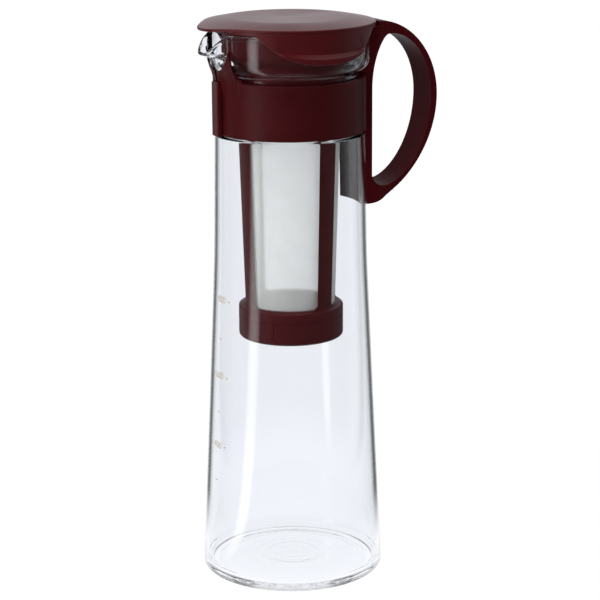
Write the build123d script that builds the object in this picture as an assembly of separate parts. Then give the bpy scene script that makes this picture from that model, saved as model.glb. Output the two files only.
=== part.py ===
# Cold brew coffee maker: a slim glass jug with a plastic neck band, loop handle, pointed lid
# and a mesh strainer. Millimetres, +Z up, origin at the centre of the base.
# The handle points along +X and the spout along -X.

import os
from math import asin, cos, degrees, radians, sin, sqrt

from build123d import *

# --- glass jug -------------------------------------------------------------------------
jug_height = 290.5          # rim above the table
glass_wall = 2.2
floor_thickness = 3.5       # where the floor meets the wall
floor_dome = 2.6            # floor's middle above its edge
floor_dome_fillet = 40.0
base_radius = 48.6          # where the cone's line meets the table
base_corner_radius = 5.0
knee_height = 172.0         # the cone turns into the straight part here
knee_radius = 40.5
knee_fillet = 500.0
shoulder_fillet = 5.0
neck_fillet = 3.0
bowl_fillet = 6.0
body_top_radius = 39.3
neck_radius = 36.4
neck_length = 31.0
shoulder_rise = 5.0
bowl_depth = 22.3           # mouth bowl, from the neck to the rim
bowl_rise = 4.4
bowl_radius = 41.2
rim_radius = 41.8

# --- pouring spout ---------------------------------------------------------------------
spout_reach = 49.8          # tip, from the jug's axis
spout_dip = 9.8             # tip below the rim
spout_tip_radius = 11.0     # of its round end, seen from above
spout_throat_radius = 8.0
spout_foot_radius = 6.0
spout_root_flare = 4.0      # wider by this where it leaves the bowl
spout_root_offset = 9.0
spout_foot_drop = 10.9      # spout starts this far below the neck groove's top
spout_foot_inset = 2.0      # and this far inside the neck's face
rim_dip_run = 11.8          # the rim falls to the tip over this length
throat_reach = 43.6         # underside of the lip, just below the tip
throat_drop = 2.4

# --- neck band -------------------------------------------------------------------------
band_height = 28.4
band_lift = 1.0             # lower edge above the shoulder
band_proud = 0.3            # band's face outside the glass below it
band_fit = 0.15
band_edge_radius = 0.8
band_bore_edge = 0.4
flange_gap = 0.8            # split between the two closing flanges
flange_thickness = 1.4
flange_root = 1.2           # flanges start this far inside the band's face
flange_reach = 1.9          # how far they stand out of the band
flange_lip = 1.0            # outward hook at each flange's edge
flange_lip_depth = 0.9
horn_height = 15.8          # above the band
horn_apex_width = 14.0      # from the centre of the spout
horn_foot_width = 15.0
horn_gap = 2.6              # between the two horns, above the clasp
horn_notch_height = 5.0     # the hollow edge starts this far above the band
horn_lean = 3.0
horn_hollow_rise = 0.5      # fullness of the hollow edge near the split
horn_foot_fillet = 4.0
horn_foot_proud = 1.2
horn_heel = 1.5             # slope where the steep edge meets the band
horn_root = 8.0             # horns start this far below the band's top

# --- band clasp ------------------------------------------------------------------------
clasp_fit = 0.15
clasp_wall = 0.8
clasp_drop = 0.5            # clasp's top below the band's top
clasp_top_radius = 0.8

# --- handle ----------------------------------------------------------------------------
handle_reach = 82.0         # outermost point of the strap, from the jug's axis
handle_rise = 2.5           # strap's top above the glass rim
handle_length = 95.6        # top of the strap to the foot of the back plate
handle_apex_drop = 41.0     # outermost point below the strap's top
strap_width = 19.5
strap_thickness = 3.4       # at the outermost point
strap_crown_thickness = 7.2
strap_foot_thickness = 8.5
strap_taper_length = 14.0   # the plate's width runs into the strap's over this length
strap_outer_pull = 0.55     # fullness of the strap's lower curves, 0.55 is a circle
strap_tail_pull = 0.405
strap_tail = 1.5            # strap's foot starts this far inside the plate's face
plate_width = 27.0
plate_face = 2.0            # back plate's outer face outside the glass
plate_fit = 0.1
plate_cap_gap = 1.1         # strap's root clear of the lid's edge
plate_bend = 1.0            # plate keeps its width this far past its face
loop_pocket_rise = 7.1      # straight face starts this far above the loop's foot
loop_pocket_reach = 9.2     # foot of the loop, from the plate's face
loop_arch_drop = 27.8       # straight face ends this far below the loop's top
loop_peak_reach = 12.7      # top of the loop, from the plate's face
loop_outer_pull = 0.56
loop_pocket_pull = 0.45
tongue_width = 5.0
tongue_height = 12.0
tongue_depth = 2.0
tongue_spacing = 16.0
tongue_fit = 0.1
tongue_root = 0.5           # tongues start this far inside the plate's face

# --- strainer --------------------------------------------------------------------------
seat_gap = 0.3              # rest clearance between stacked pieces
flange_plate = 1.2          # strainer's top flange
flange_margin = 0.5         # flange inside the glass rim's edge
frame_wall = 1.6
cup_radius = 33.8
cup_depth = 14.3
cup_rise = 4.0
cup_fillet = 5.0
cup_root_fillet = 2.0
flange_edge_radius = 0.4
cup_rib_width = 2.4
cup_rib_height = 6.0
cup_rib_proud = 0.8
cup_rib_lift = 1.0
cup_rib_turn = 12.0
basket_top_radius = 28.9
basket_foot_radius = 24.9
basket_length = 128.0
window_inset = 10.0         # solid band above the windows
window_foot = 1.0           # solid band between the lower ring and the windows
window_corner = 2.5
rib_angle = 24.0
wide_window_pitch = 104.5   # between the ribs on each side of a wide window
strainer_turn = -122.75     # direction of a wide window's middle
ring_height = 4.8
ring_radius = 27.6
ring_edge_radius = 1.0
basket_root_rise = 0.6      # small slope where the basket leaves the ring
mesh_thickness = 0.4
mesh_overlap = 1.5          # mesh moulded in past the window edges
mesh_fit = 0.02
spigot_length = 7.5
spigot_wall = 1.5
spigot_edge_radius = 0.4

# --- strainer cap ----------------------------------------------------------------------
cap_gap = 0.2
cap_height = 12.0
cap_wall = 1.6
cap_floor = 1.8
cap_edge_radius = 2.0
cap_fit = 0.3
cap_lip_radius = 0.3
cap_floor_fillet = 1.0
cap_groove_width = 0.5
cap_groove_depth = 0.4
cap_groove_margin = 3.0
cap_turn = 35.0             # bayonet turn
lug_width = 2.2
lug_height = 1.8
lug_fit = 0.4
lug_count = 4
lug_start = 45.0            # direction of the first lug
lug_inset = 0.2             # lug's tip clear of the spigot's bore
lug_root = 0.8              # lug runs this far into the cap's wall
lug_drop = 3.0              # lug's top below the seam

# --- lid -------------------------------------------------------------------------------
lid_overhang = 2.7          # disc outside the glass rim
lid_nose_reach = 49.5
lid_nose_radius = 20.0
lid_rim_height = 2.4        # disc's edge above its seat
lid_crown = 2.3             # top above the edge
lid_dish_radius = 29.2
lid_dish_depth = 0.8
lid_skin = 1.8
lid_edge = 1.5
crown_shoulder = 5.0        # the crown starts to fall this far outside the dish
crown_edge = 3.0
crown_tail = 2.1            # crown's end below the disc's edge, past the nose
plug_fit = 0.4
plug_wall = 1.6
plug_depth = 8.0
plug_edge_radius = 0.5
seat_ring_width = 4.0
seat_ring_outer_height = 1.6
seat_ring_inner_height = 2.8
skirt_gap = 0.9
skirt_wall = 1.5
lobe_depth = 14.4
lobe_half_width = 31.5
lobe_top_drop = 0.7         # the half ellipse hangs from this far below the seat
lobe_flare = 2.6
lobe_flare_height = 3.6
lobe_tip_height = 0.6
lobe_tip_radius = 0.5
lobe_bend_radius = 3.0

# --- working sizes -----------------------------------------------------------------------
overcut = 1.0               # cutters run past what they cut
far_reach = 90.0            # cutters that span the whole part
glass_clearance = 0.3       # plastic pieces clear of the glass and of each other

# --- places worked out from the sizes ----------------------------------------------------
neck_top = jug_height - bowl_depth
shoulder_top = neck_top - neck_length
shoulder_foot = shoulder_top - shoulder_rise
spout_foot = neck_top - spout_foot_drop
spout_lift = glass_wall * 0.8
band_foot = shoulder_top + band_lift
band_top = band_foot + band_height
band_radius = body_top_radius + band_proud
band_bore = neck_radius + band_fit
spout_tip_height = jug_height - spout_dip
throat_height = spout_tip_height - throat_drop
flange_foot = jug_height + seat_gap
flange_top = flange_foot + flange_plate
flange_radius = rim_radius - flange_margin
cup_foot = flange_top - cup_depth - cup_rise
basket_foot = cup_foot - basket_length
basket_slope = (basket_top_radius - basket_foot_radius) / basket_length
seam = basket_foot - ring_height
ring_top = basket_foot
window_low = basket_foot + window_foot
window_high = cup_foot - window_inset
cap_top = seam - cap_gap
cap_base = cap_top - cap_height
cap_bore = ring_radius - cap_wall
spigot_radius = cap_bore - cap_fit
lid_seat = flange_top + seat_gap
lid_radius = rim_radius + lid_overhang
lid_edge_top = lid_seat + lid_rim_height
lid_top = lid_edge_top + lid_crown
plug_radius = cup_radius - frame_wall - plug_fit
skirt_bore = rim_radius + skirt_gap
skirt_radius = skirt_bore + skirt_wall
lobe_top = lid_seat - lobe_top_drop
lobe_foot = lobe_top - lobe_depth
plate_reach = body_top_radius + plate_face
handle_top = jug_height + handle_rise
handle_foot = handle_top - handle_length
handle_apex_height = handle_top - handle_apex_drop
loop_top = handle_top - strap_crown_thickness
loop_foot = handle_foot + strap_foot_thickness
strap_root = lid_radius + plate_cap_gap
clasp_half = flange_gap / 2 + flange_thickness + flange_lip + clasp_fit + clasp_wall
clasp_reach = band_radius + flange_reach + clasp_fit + clasp_wall
clasp_top = band_top - clasp_drop


# --- shared helpers ----------------------------------------------------------------------
def ring_solid(*corners):
    """Solid of revolution about Z from (radius, height, fillet) corners."""
    points = [(radius, height) for radius, height, _ in corners]
    radii = [fillet for _, _, fillet in corners]
    outline = FilletPolyline(*points, radius=radii, close=True)
    return revolve(Plane.XZ * make_face(outline), Axis.Z)


def quarter(start, corner, end, start_pull=0.5523, end_pull=0.5523):
    """Quarter-ellipse-like curve from start to end, tangent to the lines to corner."""
    first = tuple(s + (c - s) * start_pull for s, c in zip(start, corner))
    second = tuple(e + (c - e) * end_pull for e, c in zip(end, corner))
    return Bezier(start, first, second, end)


def side_prism(face, width):
    """Extrude a face drawn in (x, z) by width, centred on the handle-spout plane."""
    return extrude(Plane.XZ * face, amount=width / 2, both=True)


def upright(face, low, high):
    """Extrude a plan face upwards from height low to height high."""
    return Pos(0, 0, low) * extrude(face, amount=high - low, dir=(0, 0, 1))


def tall_box(x_low, x_high, y_low, y_high, z_low, z_high):
    size = (x_high - x_low, y_high - y_low, z_high - z_low)
    middle = ((x_low + x_high) / 2, (y_low + y_high) / 2, (z_low + z_high) / 2)
    return Pos(*middle) * Box(*size)


# --- glass jug ---------------------------------------------------------------------------
def floor_rise():
    """Low dome in the middle of the jug's floor."""
    top = floor_thickness + floor_dome
    foot = floor_thickness - floor_dome * 0.1
    return ring_solid(
        (0, top, 0),
        (base_radius * 0.3, top, floor_dome_fillet),
        (base_radius * 0.72, foot, 0),
        (0, foot, 0),
    )


def jug_body(inset, low, high):
    """Revolved jug outline, moved in by inset, from height low to height high."""
    lift = inset * 0.4
    return ring_solid(
        (0, low, 0),
        (base_radius - inset, low, base_corner_radius),
        (knee_radius - inset, knee_height, knee_fillet),
        (body_top_radius - inset, shoulder_foot, shoulder_fillet),
        (neck_radius - inset, shoulder_top, neck_fillet),
        (neck_radius - inset, neck_top + lift, neck_fillet),
        (bowl_radius - inset, neck_top + bowl_rise + lift, bowl_fillet),
        (rim_radius - inset, jug_height, 0),
        (rim_radius - inset, high, 0),
        (0, high, 0),
    )


def spout_section(height, reach, end_radius, inset):
    """Egg-shaped slice of the spout, its narrow end at reach along -X."""
    tip = end_radius - inset
    root = end_radius + spout_root_flare - inset
    tip_centre = -(reach - end_radius)
    small = Pos(tip_centre, 0) * CenterArc((0, 0), tip, 0, 360)
    large = Pos(tip_centre + spout_root_offset, 0) * CenterArc((0, 0), root, 0, 360)
    return Pos(0, 0, height) * make_hull([small, large])


def spout_solid(inset, lift=0.0):
    sections = [
        spout_section(spout_foot, neck_radius - spout_foot_inset, spout_foot_radius, inset),
        spout_section(throat_height + lift, throat_reach, spout_throat_radius, inset),
        spout_section(spout_tip_height + lift, spout_reach, spout_tip_radius, inset),
        spout_section(jug_height + 2 * overcut, spout_reach, spout_tip_radius, inset),
    ]
    return loft(sections, ruled=True)


def rim_cut():
    """Everything above the rim line, which dips in an S-curve towards the spout's tip."""
    tip = -spout_reach
    run = rim_dip_run
    near = tip + run
    start = (tip - run * 0.05, jug_height - spout_dip * 1.06)
    dip = Bezier(start, (tip + run * 0.23, jug_height - spout_dip * 0.6),
                 (tip + run * 0.53, jug_height), (near, jug_height))
    far = tip - run
    above = jug_height + run
    edge = Polyline((near, jug_height), (near, above), (far, above), (far, start[1]), start)
    return side_prism(make_face([dip, edge]), far_reach)


def make_glass_jug():
    high = jug_height + overcut
    outside = jug_body(0, 0, high) + spout_solid(0)
    inside = jug_body(glass_wall, floor_thickness, high) - floor_rise()
    inside += spout_solid(glass_wall, spout_lift)
    top = tall_box(-far_reach, far_reach, -far_reach, far_reach, jug_height, high + 2 * overcut)
    return outside - inside - top - rim_cut()


# --- neck band ---------------------------------------------------------------------------
def flange_outline(side, clearance):
    """One closing flange in plan: a web with an outward hook, on one side of the split."""
    foot = -(band_radius - flange_root)
    tip = -(band_radius + flange_reach) - clearance
    hook = -(band_radius + flange_reach - flange_lip_depth) + clearance
    near = side * (flange_gap / 2 if clearance == 0 else 0)
    web = side * (flange_gap / 2 + flange_thickness + clearance)
    lip = side * (flange_gap / 2 + flange_thickness + flange_lip + clearance)
    return make_face(Polyline((foot, near), (tip, near), (tip, lip), (hook, lip), (hook, web),
                              (foot, web), close=True))


def horn_outline(side):
    """Horn seen along X: hollow towards the spout, steep on the other side."""
    low = band_top - horn_root
    inner = side * horn_gap / 2
    foot = side * horn_foot_width
    notch = (inner, band_top + horn_notch_height)
    apex = (side * horn_apex_width, band_top + horn_height)
    hollow = Bezier(notch, (side * horn_apex_width * 0.55, notch[1] + horn_hollow_rise),
                    (side * horn_apex_width * 0.85, band_top + horn_height * 0.65), apex)
    back = Polyline(apex, (foot, band_top + horn_heel), (foot + side * horn_heel, band_top),
                    (foot + side * horn_heel, low), (inner, low), notch)
    return make_face([hollow, back])


def make_horns():
    """Leaning shell around the mouth bowl, trimmed to two horns beside the spout."""
    top = band_top + horn_height + 2 * overcut
    shell = ring_solid(
        (band_bore, band_top - horn_root, 0),
        (band_radius, band_top - horn_root, 0),
        (band_radius + horn_foot_proud, band_top, horn_foot_fillet),
        (band_radius + horn_foot_proud + horn_lean, top, 0),
        (band_bore, top, 0),
    )
    sides = [extrude(Plane.YZ * horn_outline(side), amount=far_reach, dir=(-1, 0, 0))
             for side in (1, -1)]
    horns = shell & (sides[0] + sides[1])
    clasp_room = clasp_half + glass_clearance
    clasp_way = tall_box(-far_reach, -band_radius, -clasp_room, clasp_room, band_foot,
                         clasp_top + glass_clearance)
    glass = jug_body(-glass_clearance, 0, jug_height + overcut) + spout_solid(-glass_clearance)
    return horns - glass - clasp_way


def make_tongues(clearance):
    """Snap tongues that key the handle's plate into the band."""
    middle = (band_foot + band_top) / 2
    low = middle - tongue_height / 2 - clearance
    high = middle + tongue_height / 2 + clearance
    half = tongue_width / 2 + clearance
    inner = sqrt(band_radius ** 2 - (tongue_spacing / 2) ** 2) - tongue_depth - clearance
    tongues = [tall_box(inner, plate_reach - tongue_root, side * tongue_spacing / 2 - half,
                        side * tongue_spacing / 2 + half, low, high) for side in (-1, 1)]
    return tongues[0] + tongues[1]


def make_neck_band():
    band = ring_solid(
        (band_bore, band_foot, band_bore_edge),
        (band_radius, band_foot, band_edge_radius),
        (band_radius, band_top, band_edge_radius),
        (band_bore, band_top, band_bore_edge),
    )
    flanges = upright(flange_outline(1, 0) + flange_outline(-1, 0), band_foot, clasp_top)
    split = tall_box(-far_reach, 0, -flange_gap / 2, flange_gap / 2, band_foot - overcut, jug_height)
    ring = band + flanges - spout_solid(-band_fit)
    return ring + make_horns() - split - make_tongues(tongue_fit)


# --- band clasp --------------------------------------------------------------------------
def make_band_clasp():
    inner = -(band_radius + glass_clearance)
    bar = tall_box(-clasp_reach, inner, -clasp_half, clasp_half, band_foot, clasp_top)
    bar = fillet(bar.edges().filter_by(Axis.Z).group_by(Axis.X)[0], clasp_wall)
    top_edge = bar.edges().filter_by(Axis.Y).sort_by(Axis.Z)[-2:].sort_by(Axis.X)[:1]
    bar = fillet(top_edge, clasp_top_radius)
    way = flange_outline(1, clasp_fit) + flange_outline(-1, clasp_fit)
    groove = upright(way, band_foot - overcut, band_top)
    return bar - groove


# --- handle ------------------------------------------------------------------------------
def handle_outline():
    """Side view of plate and strap, without the finger loop."""
    inner_edge = neck_radius - glass_wall
    outer = handle_reach
    tail = plate_reach - strap_tail
    return make_face([
        quarter((strap_root, handle_top), (outer, handle_top), (outer, handle_apex_height)),
        quarter((outer, handle_apex_height), (outer, handle_foot), (tail, handle_foot),
                strap_outer_pull, strap_tail_pull),
        Polyline((tail, handle_foot), (inner_edge, handle_foot),
                 (inner_edge, jug_height), (strap_root, jug_height), (strap_root, handle_top)),
    ])


def loop_outline():
    """Finger loop in side view."""
    face = plate_reach
    right = handle_reach - strap_thickness
    peak = face + loop_peak_reach
    pocket = face + loop_pocket_reach
    arch_height = loop_top - loop_arch_drop
    pocket_height = loop_foot + loop_pocket_rise
    return make_face([
        Line((face, pocket_height), (face, arch_height)),
        quarter((face, arch_height), (face, loop_top), (peak, loop_top)),
        quarter((peak, loop_top), (right, loop_top), (right, handle_apex_height)),
        quarter((right, handle_apex_height), (right, loop_foot), (pocket, loop_foot),
                loop_outer_pull, loop_pocket_pull),
        quarter((pocket, loop_foot), (face, loop_foot), (face, pocket_height)),
    ])


def handle_plan():
    """Plan of the handle: a wide plate that narrows to the strap."""
    half_plate = plate_width / 2
    half_strap = strap_width / 2
    bend = plate_reach + plate_bend
    end = bend + strap_taper_length
    outer = handle_reach + overcut
    upper = Bezier((bend, half_plate), ((bend + end) / 2, half_plate),
                   ((bend + end) / 2, half_strap), (end, half_strap))
    lower = Bezier((end, -half_strap), ((bend + end) / 2, -half_strap),
                   ((bend + end) / 2, -half_plate), (bend, -half_plate))
    return make_face([
        upper,
        Polyline((end, half_strap), (outer, half_strap), (outer, -half_strap), (end, -half_strap)),
        lower,
        Polyline((bend, -half_plate), (0, -half_plate), (0, half_plate), (bend, half_plate)),
    ])


def make_handle():
    side = side_prism(handle_outline(), plate_width + 2 * overcut)
    plan = upright(handle_plan(), handle_foot - overcut, handle_top + overcut)
    loop = side_prism(loop_outline(), plate_width + 4 * overcut)
    glass = jug_body(-plate_fit, -overcut, jug_height + overcut)
    band = Cylinder(band_radius + plate_fit, band_height + 4 * plate_fit)
    band = Pos(0, 0, (band_foot + band_top) / 2) * band
    body = (side & plan) - loop - glass - band
    return body + (make_tongues(0) - glass)


# --- lid ---------------------------------------------------------------------------------
def lid_plan(inset=0.0):
    """Disc drawn out to a rounded nose over the spout."""
    disc = CenterArc((0, 0), lid_radius - inset, 0, 360)
    nose = Pos(-(lid_nose_reach - lid_nose_radius), 0) * CenterArc(
        (0, 0), lid_nose_radius - inset, 0, 360)
    return make_hull([disc, nose])


def lid_top_profile(drop):
    """Revolved crown: shallow dish in the middle, falling towards the edge."""
    edge = lid_nose_reach + crown_shoulder
    low = lid_seat - lobe_depth
    fall = lid_crown / (lid_radius - lid_dish_radius)
    dish = ThreePointArc((0, lid_top - lid_dish_depth - drop),
                         (lid_dish_radius / 2, lid_top - lid_dish_depth * 0.75 - drop),
                         (lid_dish_radius, lid_top - drop))
    crown = Bezier((lid_dish_radius, lid_top - drop),
                   (lid_dish_radius + crown_shoulder, lid_top - drop),
                   (lid_radius - crown_edge, lid_edge_top + crown_edge * fall - drop),
                   (edge, lid_edge_top - crown_tail - drop))
    below = Polyline((edge, lid_edge_top - crown_tail - drop), (edge, low), (0, low),
                     (0, lid_top - lid_dish_depth - drop))
    return revolve(Plane.XZ * make_face([dish, crown, below]), Axis.Z)


def lobe_keep():
    """Side view of what stays of the skirt: a half ellipse hanging from the disc."""
    half = Ellipse(lobe_half_width, lobe_depth)
    upper = Pos(0, lobe_depth) * Rectangle(4 * lid_radius, 2 * lobe_depth)
    return extrude(Plane.XZ * (Pos(0, lobe_top) * (half + upper)), amount=far_reach, both=True)


def make_skirt():
    low = lobe_foot - overcut
    high = lid_seat + overcut
    skirt = ring_solid(
        (skirt_bore, low, 0),
        (skirt_radius + lobe_flare, low, 0),
        (skirt_radius + lobe_flare, lobe_foot + lobe_tip_height, lobe_tip_radius),
        (skirt_radius, lobe_foot + lobe_flare_height, lobe_bend_radius),
        (skirt_radius, high, 0),
        (skirt_bore, high, 0),
    )
    return skirt & lobe_keep()


def make_lid():
    high = lid_top + overcut
    plate = upright(lid_plan(), lid_seat, high) & lid_top_profile(0)
    under_edge = upright(lid_plan(lid_edge), lid_seat - overcut, high)
    hollow = under_edge & lid_top_profile(lid_skin)
    seat_bore = skirt_bore - seat_ring_width
    seat = ring_solid(
        (seat_bore, lid_seat, 0),
        (skirt_radius, lid_seat, 0),
        (skirt_radius, lid_seat + seat_ring_outer_height, 0),
        (seat_bore, lid_seat + seat_ring_inner_height, 0),
    )
    plug = ring_solid(
        (plug_radius - plug_wall, lid_seat - plug_depth, plug_edge_radius),
        (plug_radius, lid_seat - plug_depth, plug_edge_radius),
        (plug_radius, lid_top - lid_skin / 2, 0),
        (plug_radius - plug_wall, lid_top - lid_skin / 2, 0),
    )
    return plate - hollow + (seat & plate) + plug + make_skirt()


# --- strainer ----------------------------------------------------------------------------
def basket_radius(height):
    return basket_foot_radius + (height - basket_foot) * basket_slope


def window_prism(direction, half_angle):
    """Cutter for one window: straight sides that follow the basket's taper."""
    low_half = basket_radius(window_low) * sin(radians(half_angle))
    high_half = basket_radius(window_high) * sin(radians(half_angle))
    outline = FilletPolyline((-low_half, window_low), (low_half, window_low),
                             (high_half, window_high), (-high_half, window_high),
                             radius=window_corner, close=True)
    cutter = extrude(Plane.YZ * make_face(outline), amount=cup_radius, dir=(1, 0, 0))
    return Rot(0, 0, direction) * cutter


def slot_cutters():
    """L-shaped bayonet slots in the spigot: an entry and a level run."""
    half = lug_width / 2 + lug_fit
    high = seam - lug_drop + lug_fit
    low = high - lug_height - 2 * lug_fit
    inner = spigot_radius - spigot_wall - overcut
    outer = spigot_radius + overcut
    reach = 2 * ring_radius
    margin = degrees(asin(half / spigot_radius))
    sweep = cap_turn + 2 * margin
    cutters = []
    for index in range(lug_count):
        angle = index * 360 / lug_count + lug_start
        run = ring_solid((inner, low, 0), (outer, low, 0), (outer, high, 0), (inner, high, 0))
        sector = upright(make_face([
            Line((0, 0), (reach, 0)),
            CenterArc((0, 0), reach, 0, sweep),
            Line((reach * cos(radians(sweep)), reach * sin(radians(sweep))), (0, 0)),
        ]), low - overcut, high + overcut)
        cutters.append(run & (Rot(0, 0, angle - cap_turn - margin) * sector))
        entry = tall_box(inner, outer, -half, half, seam - spigot_length - overcut, high)
        cutters.append(Rot(0, 0, angle - cap_turn) * entry)
    return cutters


def make_strainer_frame():
    cup_bend = cup_foot + frame_wall * 0.4
    inner_top = basket_radius(cup_bend) - frame_wall
    inner_foot = basket_foot_radius - frame_wall
    frame = ring_solid(
        (spigot_radius - spigot_wall, seam - spigot_length, 0),
        (spigot_radius, seam - spigot_length, spigot_edge_radius),
        (spigot_radius, seam, 0),
        (ring_radius, seam, 0),
        (ring_radius, ring_top, ring_edge_radius),
        (basket_foot_radius, ring_top + basket_root_rise, basket_root_rise),
        (basket_top_radius, cup_foot, cup_root_fillet),
        (cup_radius, cup_foot + cup_rise, cup_fillet),
        (cup_radius, flange_foot, flange_edge_radius),
        (flange_radius, flange_foot, flange_edge_radius),
        (flange_radius, flange_top, flange_edge_radius),
        (cup_radius - frame_wall, flange_top, flange_edge_radius),
        (cup_radius - frame_wall, cup_foot + cup_rise + frame_wall * 0.4, cup_fillet - frame_wall),
        (inner_top, cup_bend, cup_root_fillet),
        (inner_foot, ring_top, ring_edge_radius),
        (spigot_radius - spigot_wall, seam, 0),
    )
    narrow_pitch = 180 - wide_window_pitch
    for turn, pitch in ((0, wide_window_pitch), (90, narrow_pitch),
                        (180, wide_window_pitch), (270, narrow_pitch)):
        frame -= window_prism(strainer_turn + turn, (pitch - rib_angle) / 2)
    for cutter in slot_cutters():
        frame -= cutter
    rib_foot = cup_foot + cup_rise + cup_rib_lift
    for index in range(4):
        rib = tall_box(cup_radius - frame_wall / 2, cup_radius + cup_rib_proud, -cup_rib_width / 2,
                       cup_rib_width / 2, rib_foot, rib_foot + cup_rib_height)
        frame += Rot(0, 0, strainer_turn + cup_rib_turn + index * 90) * rib
    return frame


def make_strainer_mesh():
    low = window_low - mesh_overlap
    high = window_high + mesh_overlap
    inset = frame_wall + mesh_fit
    return ring_solid(
        (basket_radius(low) - inset - mesh_thickness, low, 0),
        (basket_radius(low) - inset, low, 0),
        (basket_radius(high) - inset, high, 0),
        (basket_radius(high) - inset - mesh_thickness, high, 0),
    )


def make_strainer_cap():
    cap = ring_solid(
        (0, cap_base, 0),
        (ring_radius, cap_base, cap_edge_radius),
        (ring_radius, cap_top, cap_lip_radius),
        (cap_bore, cap_top, cap_lip_radius),
        (cap_bore, cap_base + cap_floor, cap_floor_fillet),
        (0, cap_base + cap_floor, 0),
    )
    lug_top = seam - lug_drop
    for index in range(lug_count):
        turned = Rot(0, 0, index * 360 / lug_count + lug_start)
        lug = tall_box(spigot_radius - spigot_wall + lug_inset, cap_bore + lug_root, -lug_width / 2,
                       lug_width / 2, lug_top - lug_height, lug_top)
        groove = tall_box(ring_radius - cap_groove_depth, ring_radius + overcut,
                          -cap_groove_width / 2, cap_groove_width / 2,
                          cap_base + cap_groove_margin, cap_top + overcut)
        cap += turned * lug
        cap -= turned * groove
    return cap


# --- write the pieces --------------------------------------------------------------------
pieces = {
    "glass_jug": make_glass_jug,
    "neck_band": make_neck_band,
    "band_clasp": make_band_clasp,
    "handle": make_handle,
    "lid": make_lid,
    "strainer_frame": make_strainer_frame,
    "strainer_mesh": make_strainer_mesh,
    "strainer_cap": make_strainer_cap,
}

os.makedirs("parts", exist_ok=True)
for name, make in pieces.items():
    solid = make()
    solid.label = name
    export_step(solid, f"parts/{name}.step")
    print(f"{name}: {solid.volume / 1000:.2f} cm3")
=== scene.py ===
import math

import bmesh
import bpy
from mathutils import Matrix, Vector


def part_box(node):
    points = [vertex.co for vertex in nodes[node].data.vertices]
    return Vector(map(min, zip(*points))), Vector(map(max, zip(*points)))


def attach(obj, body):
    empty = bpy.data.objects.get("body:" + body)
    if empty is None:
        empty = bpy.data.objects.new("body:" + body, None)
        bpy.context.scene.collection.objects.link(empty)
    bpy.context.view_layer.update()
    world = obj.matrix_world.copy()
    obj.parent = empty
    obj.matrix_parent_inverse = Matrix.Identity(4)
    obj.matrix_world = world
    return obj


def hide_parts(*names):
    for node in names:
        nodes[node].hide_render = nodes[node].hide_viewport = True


# Looks for the cold brew coffee maker. Sizes are in millimetres and become metres in the meshes.
# The handle points along +X, the spout along -X, and z is the height above the table.

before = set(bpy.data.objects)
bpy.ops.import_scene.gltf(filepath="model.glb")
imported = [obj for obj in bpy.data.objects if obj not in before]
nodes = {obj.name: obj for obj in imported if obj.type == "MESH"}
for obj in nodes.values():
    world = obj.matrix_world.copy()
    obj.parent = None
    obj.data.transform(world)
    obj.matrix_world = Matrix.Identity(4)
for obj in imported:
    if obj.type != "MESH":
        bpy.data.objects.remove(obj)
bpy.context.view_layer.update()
mm = 0.001
print("frame loaded:", len(nodes), "nodes")


def nodeSpan(name):
    low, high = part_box(name)
    return low / mm, high / mm


# ---- small tools for meshes

edgeHalvings = 26              # steps that close in on the edge of a slice


def lerp(a, b, t):
    return a + (b - a) * t


def smooth(t):
    t = min(max(t, 0.0), 1.0)
    return t * t * (3 - 2 * t)


def polar(radius, angle, height):
    return (radius * math.cos(angle), radius * math.sin(angle), height)


def readLine(points, x, otherwise):
    # the second coordinate of the line where its first one is x
    for a, b in zip(points, points[1:]):
        if a[0] <= x <= b[0] and b[0] > a[0]:
            return lerp(a[1], b[1], (x - a[0]) / (b[0] - a[0]))
    return otherwise


def edgeBetween(outside, low, high):
    # the place between low and high where the signed distance turns positive
    for _ in range(edgeHalvings):
        middle = (low + high) / 2
        if outside(middle) > 0:
            high = middle
        else:
            low = middle
    return low


def roundedLine(corners, stepAngle=6.0, mostOfRun=0.49):
    # corners are (radius, height, fillet); returns the points of the line with its corners rounded
    points = []
    for i, (r, z, fillet) in enumerate(corners):
        here = Vector((r, z))
        if fillet == 0 or i in (0, len(corners) - 1):
            points.append(here)
            continue
        back = Vector(corners[i - 1][:2]) - here
        ahead = Vector(corners[i + 1][:2]) - here
        turn = math.pi - back.angle(ahead)
        cut = min(fillet * math.tan(turn / 2), min(back.length, ahead.length) * mostOfRun)
        start = here + back.normalized() * cut
        end = here + ahead.normalized() * cut
        steps = max(2, round(math.degrees(turn) / stepAngle))
        for k in range(steps + 1):
            t = k / steps
            points.append(start * (1 - t) ** 2 + here * 2 * t * (1 - t) + end * t * t)
    return points


def subdivided(points, longest):
    # adds points so that no run is longer than that
    out = [points[0]]
    for a, b in zip(points, points[1:]):
        pieces = max(1, math.ceil((b - a).length / longest))
        out += [a.lerp(b, k / pieces) for k in range(1, pieces + 1)]
    return out


def bezierPoints(p0, p1, p2, p3, count):
    out = []
    for k in range(count + 1):
        t = k / count
        out.append(Vector(p0) * (1 - t) ** 3 + Vector(p1) * 3 * t * (1 - t) ** 2
                   + Vector(p2) * 3 * t * t * (1 - t) + Vector(p3) * t ** 3)
    return out


def addObject(name, data):
    obj = bpy.data.objects.new(name, data)
    bpy.context.scene.collection.objects.link(obj)
    return obj


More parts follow.
